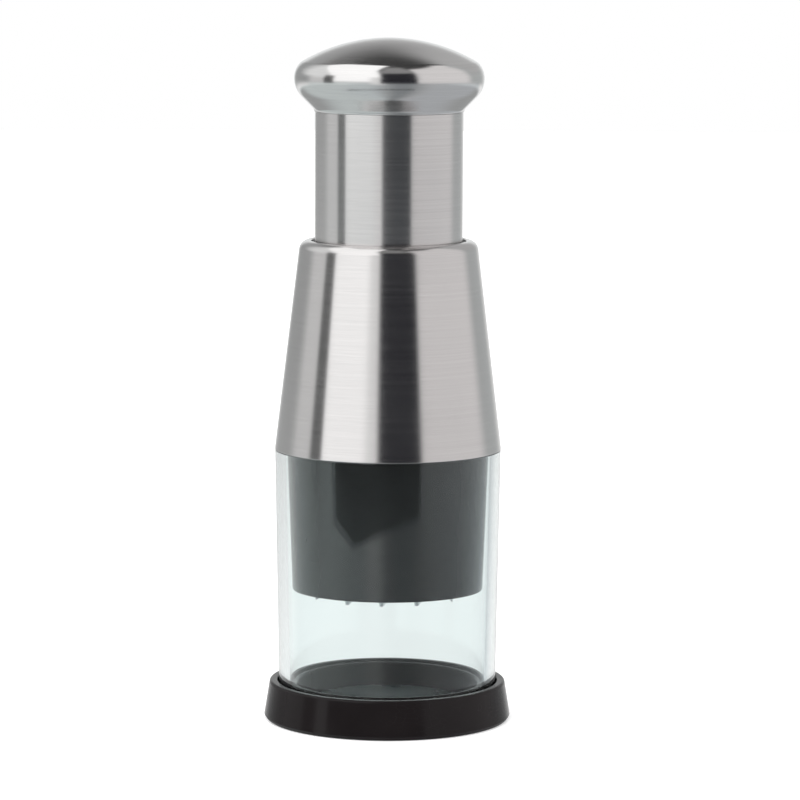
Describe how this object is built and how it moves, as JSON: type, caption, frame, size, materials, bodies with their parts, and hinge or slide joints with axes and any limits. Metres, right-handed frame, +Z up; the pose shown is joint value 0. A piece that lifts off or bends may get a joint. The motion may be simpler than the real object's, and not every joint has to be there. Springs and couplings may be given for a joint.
{
  "type": "press-down vegetable dicer",
  "caption": "Hand-pressed food dicer: domed steel knob and sprung plunger, conical steel housing, dark blade guard in a clear cup, and a black base cap.",
  "frame": {"origin": "middle of the underside, on the surface that the dicer stands on", "axes": "+Z up along the plunger's axis, from the base cap to the knob; -Y is the side that the picture shows"},
  "size_m": [0.058, 0.058, 0.16],
  "materials": {
    "brushed_skin": "fine brushing round the axis",
    "knob_steel": "satin, turned",
    "base_black": "glossy moulded",
    "guard_grey": "semi-gloss moulded",
    "inner_plastic": "fine moulded grain",
    "disc_plastic": "fine grain with cutting marks",
    "clear": "clear moulded plastic",
    "soft_grey": "soft matt",
    "soft_black": "soft matt",
    "bearing_white": "smooth bearing plastic",
    "blade_steel": "ground, with a honed edge",
    "part_steel": "turned or drawn",
    "nut_brass": "turned"
  },
  "bodies": {
    "base": {"base_cap": "base_black", "foot_ring": "soft_black", "cutting_disc": "disc_plastic"},
    "cup": {"clear_cup": "clear"},
    "head": {"housing_shell": "brushed_skin", "housing_liner": "inner_plastic", "cup_seal": "soft_grey", "guide_bush": "inner_plastic", "bearing_plate": "inner_plastic", "plate_ring": "part_steel", "cam_nut": "nut_brass", "guard_retainer": "inner_plastic", "retainer_screws": "part_steel", "return_spring": "part_steel"},
    "plunger": {"knob_shell": "knob_steel", "knob_core": "inner_plastic", "plunger_tube": "brushed_skin", "plunger_core": "inner_plastic", "thrust_washer": "bearing_white"},
    "blade_unit": {"cam_spindle": "part_steel", "spindle_clip": "part_steel", "spindle_pin": "part_steel", "blade_holder": "inner_plastic", "zigzag_blade": "blade_steel"},
    "guard": {"guard_sleeve": "guard_grey", "wiper_plate": "guard_grey"}
  },
  "joints": [
    {"name": "cup_lift", "type": "slide", "parent": "base", "child": "cup", "axis": [0, 0, 1], "range_m": [0, 0.03]},
    {"name": "head_lift", "type": "slide", "parent": "cup", "child": "head", "axis": [0, 0, 1], "range_m": [0, 0.06]},
    {"name": "plunger_press", "type": "slide", "parent": "head", "child": "plunger", "axis": [0, 0, 1], "range_m": [-0.0255, 0], "stiffness_N_per_m": 600, "springref_m": 0.01, "deforming": ["return_spring"]},
    {"name": "blade_turn", "type": "hinge", "parent": "plunger", "child": "blade_unit", "pos_m": [0, 0, 0.06], "axis": [0, 0, 1], "range_deg": [-45, 0]},
    {"name": "guard_turn", "type": "hinge", "parent": "head", "child": "guard", "pos_m": [0, 0, 0.05], "axis": [0, 0, 1], "range_deg": [-45, 0]}
  ],
  "couplings": [
    {"joint": "blade_turn", "follows": "plunger_press", "rad_per_m": 30.79},
    {"joint": "guard_turn", "follows": "plunger_press", "rad_per_m": 30.79}
  ]
}
